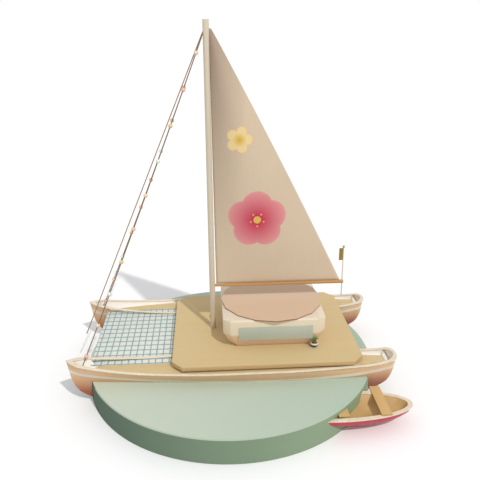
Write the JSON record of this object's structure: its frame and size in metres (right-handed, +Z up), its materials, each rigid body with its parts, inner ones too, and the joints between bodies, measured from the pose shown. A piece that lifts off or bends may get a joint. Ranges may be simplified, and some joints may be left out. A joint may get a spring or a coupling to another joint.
{
  "type": "display model of a sailing catamaran on a round water base",
  "caption": "Model sailing catamaran with cabin, mast, flowered sail and bead garlands, set in a round sea-green base with a small dinghy against its side.",
  "frame": {"origin": "centre of the round base's flat underside", "axes": "+Z up along the mast; +X from the bows towards the sterns; -Y towards the hull and dinghy nearest the viewer"},
  "size_m": [0.3032, 0.272, 0.3302],
  "materials": {
    "base_paint": "satin sea-green paint",
    "hull_wood": "satin brown stain with a grey-cream line",
    "deck_wood": "matt pale timber",
    "rail_wood": "satin cream paint",
    "bar_wood": "matt",
    "net_cloth": "woven, with dark blue-grey lines",
    "cabin_wood": "matt cream paint",
    "window_strip": "gloss grey-green",
    "roof_wood": "matt",
    "spar_wood": "satin varnish",
    "mast_wood": "bare dowel",
    "sail_cloth": "matt, with two printed blossoms",
    "line_cord": "twisted, matt",
    "pole_wood": "cream paint",
    "gold_ball": "polished",
    "flag_paper": "matt",
    "pot_glaze": "gloss navy with a white rim band",
    "leaf_plastic": "matt green",
    "dinghy_paint": "satin red paint outside",
    "thwart_wood": "matt",
    "bead_cream": "satin",
    "bead_pink": "satin",
    "bead_gold": "satin",
    "bead_mint": "satin"
  },
  "bodies": {
    "root": {"boom": "spar_wood", "bridge_deck": "deck_wood", "cabin": "cabin_wood", "cabin_roof": "roof_wood", "cabin_window": "window_strip", "dinghy_aft_thwart": "thwart_wood", "dinghy_fore_thwart": "thwart_wood", "dinghy_gunwale": "rail_wood", "dinghy_hull": "dinghy_paint", "far_bead_01": "bead_cream", "far_bead_02": "bead_pink", "far_bead_03": "bead_gold", "far_bead_04": "bead_mint", "far_bead_05": "bead_cream", "far_bead_06": "bead_pink", "far_bead_07": "bead_gold", "far_bead_08": "bead_mint", "far_bead_09": "bead_cream", "far_bead_10": "bead_pink", "far_crossbar": "bar_wood", "far_deck": "deck_wood", "far_garland": "line_cord", "far_hull": "hull_wood", "far_rail": "rail_wood", "flag": "flag_paper", "flagpole": "pole_wood", "flagpole_ball": "gold_ball", "forestay": "line_cord", "mast": "mast_wood", "near_bead_01": "bead_cream", "near_bead_02": "bead_pink", "near_bead_03": "bead_gold", "near_bead_04": "bead_mint", "near_bead_05": "bead_cream", "near_bead_06": "bead_pink", "near_bead_07": "bead_gold", "near_bead_08": "bead_mint", "near_bead_09": "bead_cream", "near_bead_10": "bead_pink", "near_crossbar": "bar_wood", "near_deck": "deck_wood", "near_garland": "line_cord", "near_hull": "hull_wood", "near_rail": "rail_wood", "plant": "leaf_plastic", "plant_pot": "pot_glaze", "sail": "sail_cloth", "trampoline_net": "net_cloth", "water_base": "base_paint"}
  },
  "joints": []
}
